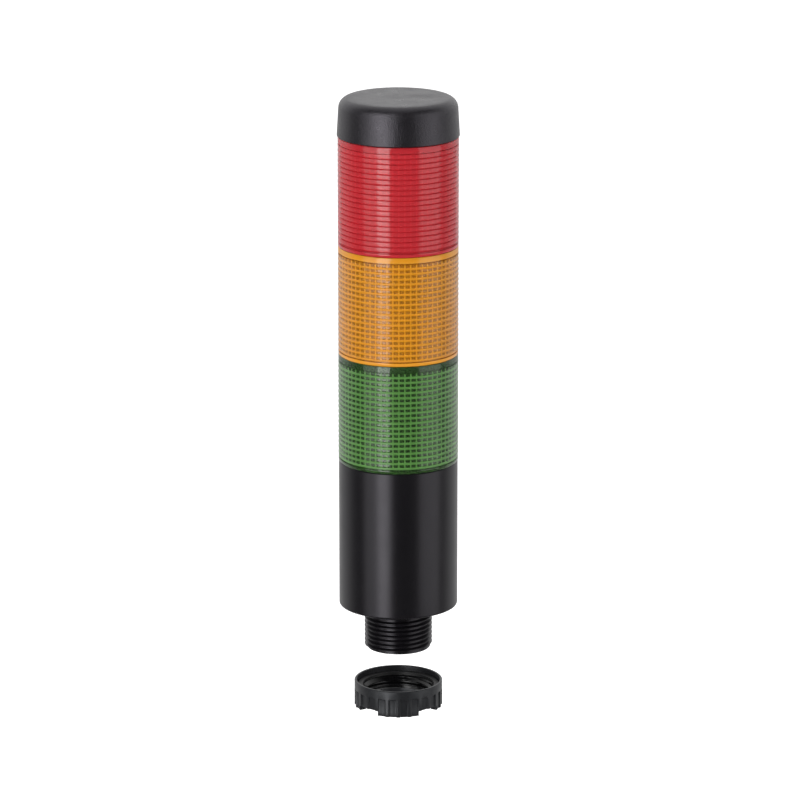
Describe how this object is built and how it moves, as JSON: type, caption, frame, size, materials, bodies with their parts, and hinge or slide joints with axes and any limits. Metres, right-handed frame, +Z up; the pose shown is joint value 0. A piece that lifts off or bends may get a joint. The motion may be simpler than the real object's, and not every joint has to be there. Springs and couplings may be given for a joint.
{
  "type": "machine signal tower",
  "caption": "Machine status light: red, amber and green bayonet lens tiers on a black base with a 22 mm threaded stub, shown with its loose mounting nut below.",
  "frame": {"origin": "centre of the base housing's underside, on the panel face", "axes": "+Z up along the tower's axis towards the cap, -Y towards the front, right-handed"},
  "size_m": [0.0388, 0.0388, 0.2002],
  "materials": {
    "black_plastic": "satin moulded",
    "cap_plastic": "fine matte texture",
    "nut_plastic": "satin moulded",
    "red_lens": "transparent, ribbed",
    "amber_lens": "transparent, ribbed",
    "green_lens": "transparent, ribbed",
    "seal_rubber": "smooth",
    "board": "solder mask",
    "column_plastic": "moulded",
    "tube_plastic": "smoked, glossy",
    "led": "clear moulded",
    "contact_brass": "plated",
    "component": "sleeved",
    "terminal_plastic": "moulded",
    "screw_steel": "zinc plated"
  },
  "bodies": {
    "base": {"base_housing": "black_plastic", "panel_gasket": "seal_rubber", "cable_grommet": "seal_rubber", "base_board": "board", "base_disc": "board", "base_rings": "contact_brass", "driver_parts": "component", "terminal_block": "terminal_plastic", "terminal_screws": "screw_steel", "board_screws": "screw_steel"},
    "tier_green": {"lens_green": "green_lens", "board_green": "board", "column_green": "column_plastic", "tube_green": "tube_plastic", "leds_green": "led", "plungers_green": "contact_brass", "disc_green": "board", "rings_green": "contact_brass", "seal_green": "seal_rubber"},
    "tier_amber": {"lens_amber": "amber_lens", "board_amber": "board", "column_amber": "column_plastic", "tube_amber": "tube_plastic", "leds_amber": "led", "plungers_amber": "contact_brass", "disc_amber": "board", "rings_amber": "contact_brass", "seal_amber": "seal_rubber"},
    "tier_red": {"lens_red": "red_lens", "board_red": "board", "column_red": "column_plastic", "tube_red": "tube_plastic", "leds_red": "led", "plungers_red": "contact_brass", "disc_red": "board", "rings_red": "contact_brass", "seal_red": "seal_rubber"},
    "cap": {"cap": "cap_plastic", "cap_seal": "seal_rubber"},
    "slip_ring": {"slip_ring": "nut_plastic"},
    "nut": {"mounting_nut": "nut_plastic"}
  },
  "joints": [
    {"name": "green_twist", "type": "hinge", "parent": "base", "child": "tier_green", "pos_m": [0, 0, 0.048], "axis": [0, 0, 1], "range_deg": [0, 20]},
    {"name": "amber_twist", "type": "hinge", "parent": "tier_green", "child": "tier_amber", "pos_m": [0, 0, 0.0831], "axis": [0, 0, 1], "range_deg": [0, 20]},
    {"name": "red_twist", "type": "hinge", "parent": "tier_amber", "child": "tier_red", "pos_m": [0, 0, 0.1182], "axis": [0, 0, 1], "range_deg": [0, 20]},
    {"name": "cap_twist", "type": "hinge", "parent": "tier_red", "child": "cap", "pos_m": [0, 0, 0.1533], "axis": [0, 0, 1], "range_deg": [0, 20]},
    {"name": "nut_travel", "type": "slide", "parent": "base", "child": "slip_ring", "axis": [0, 0, 1], "range_m": [0, 0.0249]},
    {"name": "nut_spin", "type": "hinge", "parent": "slip_ring", "child": "nut", "pos_m": [0, 0, -0.0259], "axis": [0, 0, 1], "range_deg": [0, 5976]}
  ],
  "couplings": [
    {"joint": "nut_travel", "follows": "nut_spin", "m_per_rad": 0.00023873}
  ]
}
